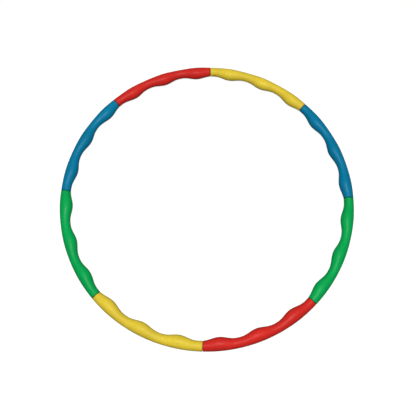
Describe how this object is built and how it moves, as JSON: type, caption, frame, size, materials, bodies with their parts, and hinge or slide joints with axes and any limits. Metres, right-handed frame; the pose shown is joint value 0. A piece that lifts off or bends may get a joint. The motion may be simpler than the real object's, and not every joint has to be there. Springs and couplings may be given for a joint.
{
  "type": "rhythmic hoop",
  "caption": "Round exercise hoop of snap-together coloured hollow plastic tubes, with a smooth outer rim, massaging swells on the inner rim and spring-button joints.",
  "frame": {"origin": "on the hoop's axis, in the plane that the hoop lies on", "axes": "+Z along the hoop's axis, +Y towards the seam at the hoop's top, between sections 8 and 1; seen from +Z the sections are numbered clockwise from +Y"},
  "size_m": [0.8, 0.8, 0.0326],
  "materials": {
    "yellow_plastic": "satin moulded polyethylene",
    "blue_plastic": "satin moulded polyethylene",
    "green_plastic": "satin moulded polyethylene",
    "red_plastic": "satin moulded polyethylene",
    "spring_steel": "drawn wire"
  },
  "bodies": {
    "section_1": {"tube_1_yellow": "yellow_plastic", "plug_1": "yellow_plastic", "spring_1": "spring_steel"},
    "section_2": {"tube_2_blue": "blue_plastic", "plug_2": "blue_plastic", "spring_2": "spring_steel"},
    "section_3": {"tube_3_green": "green_plastic", "plug_3": "green_plastic", "spring_3": "spring_steel"},
    "section_4": {"tube_4_red": "red_plastic", "plug_4": "red_plastic", "spring_4": "spring_steel"},
    "section_5": {"tube_5_yellow": "yellow_plastic", "plug_5": "yellow_plastic", "spring_5": "spring_steel"},
    "section_6": {"tube_6_green": "green_plastic", "plug_6": "green_plastic", "spring_6": "spring_steel"},
    "section_7": {"tube_7_blue": "blue_plastic", "plug_7": "blue_plastic", "spring_7": "spring_steel"},
    "section_8": {"tube_8_red": "red_plastic", "plug_8": "red_plastic", "spring_8": "spring_steel"},
    "catch_1": {"button_1": "blue_plastic"},
    "catch_2": {"button_2": "green_plastic"},
    "catch_3": {"button_3": "red_plastic"},
    "catch_4": {"button_4": "yellow_plastic"},
    "catch_5": {"button_5": "green_plastic"},
    "catch_6": {"button_6": "blue_plastic"},
    "catch_7": {"button_7": "red_plastic"},
    "catch_8": {"button_8": "yellow_plastic"}
  },
  "joints": [
    {"name": "pull_section_5", "type": "slide", "parent": "section_1", "child": "section_5", "axis": [-0.3827, -0.9239, 0], "range_m": [0, 0.104], "deforming": ["button_1", "button_2", "button_3", "button_4", "button_5", "button_6", "button_7", "button_8"]},
    {"name": "pull_section_2", "type": "slide", "parent": "section_1", "child": "section_2", "axis": [0.7071, -0.7071, 0], "range_m": [0, 0.0399]},
    {"name": "pull_section_3", "type": "slide", "parent": "section_1", "child": "section_3", "axis": [0.3827, -0.9239, 0], "range_m": [0, 0.0736]},
    {"name": "pull_section_4", "type": "slide", "parent": "section_1", "child": "section_4", "axis": [0, -1, 0], "range_m": [0, 0.0962]},
    {"name": "pull_section_6", "type": "slide", "parent": "section_1", "child": "section_6", "axis": [-0.7071, -0.7071, 0], "range_m": [0, 0.0962]},
    {"name": "pull_section_7", "type": "slide", "parent": "section_1", "child": "section_7", "axis": [-0.9239, -0.3827, 0], "range_m": [0, 0.0736]},
    {"name": "pull_section_8", "type": "slide", "parent": "section_1", "child": "section_8", "axis": [-1, 0, 0], "range_m": [0, 0.0399]},
    {"name": "press_button_1", "type": "slide", "parent": "section_1", "child": "catch_1", "axis": [0.7071, 0.7071, 0], "range_m": [0, 0.0038], "stiffness_N_per_m": 500, "springref_m": -0.002, "deforming": ["spring_1"]},
    {"name": "press_button_2", "type": "slide", "parent": "section_2", "child": "catch_2", "axis": [1, 0, 0], "range_m": [0, 0.0038], "stiffness_N_per_m": 500, "springref_m": -0.002, "deforming": ["spring_2"]},
    {"name": "press_button_3", "type": "slide", "parent": "section_3", "child": "catch_3", "axis": [0.7071, -0.7071, 0], "range_m": [0, 0.0038], "stiffness_N_per_m": 500, "springref_m": -0.002, "deforming": ["spring_3"]},
    {"name": "press_button_4", "type": "slide", "parent": "section_4", "child": "catch_4", "axis": [0, -1, 0], "range_m": [0, 0.0038], "stiffness_N_per_m": 500, "springref_m": -0.002, "deforming": ["spring_4"]},
    {"name": "press_button_5", "type": "slide", "parent": "section_5", "child": "catch_5", "axis": [-0.7071, -0.7071, 0], "range_m": [0, 0.0038], "stiffness_N_per_m": 500, "springref_m": -0.002, "deforming": ["spring_5"]},
    {"name": "press_button_6", "type": "slide", "parent": "section_6", "child": "catch_6", "axis": [-1, 0, 0], "range_m": [0, 0.0038], "stiffness_N_per_m": 500, "springref_m": -0.002, "deforming": ["spring_6"]},
    {"name": "press_button_7", "type": "slide", "parent": "section_7", "child": "catch_7", "axis": [-0.7071, 0.7071, 0], "range_m": [0, 0.0038], "stiffness_N_per_m": 500, "springref_m": -0.002, "deforming": ["spring_7"]},
    {"name": "press_button_8", "type": "slide", "parent": "section_8", "child": "catch_8", "axis": [0, 1, 0], "range_m": [0, 0.0038], "stiffness_N_per_m": 500, "springref_m": -0.002, "deforming": ["spring_8"]}
  ],
  "couplings": [
    {"joint": "pull_section_2", "follows": "pull_section_5", "ratio": 0.38268},
    {"joint": "pull_section_3", "follows": "pull_section_5", "ratio": 0.70711},
    {"joint": "pull_section_4", "follows": "pull_section_5", "ratio": 0.92388},
    {"joint": "pull_section_6", "follows": "pull_section_5", "ratio": 0.92388},
    {"joint": "pull_section_7", "follows": "pull_section_5", "ratio": 0.70711},
    {"joint": "pull_section_8", "follows": "pull_section_5", "ratio": 0.38268}
  ]
}
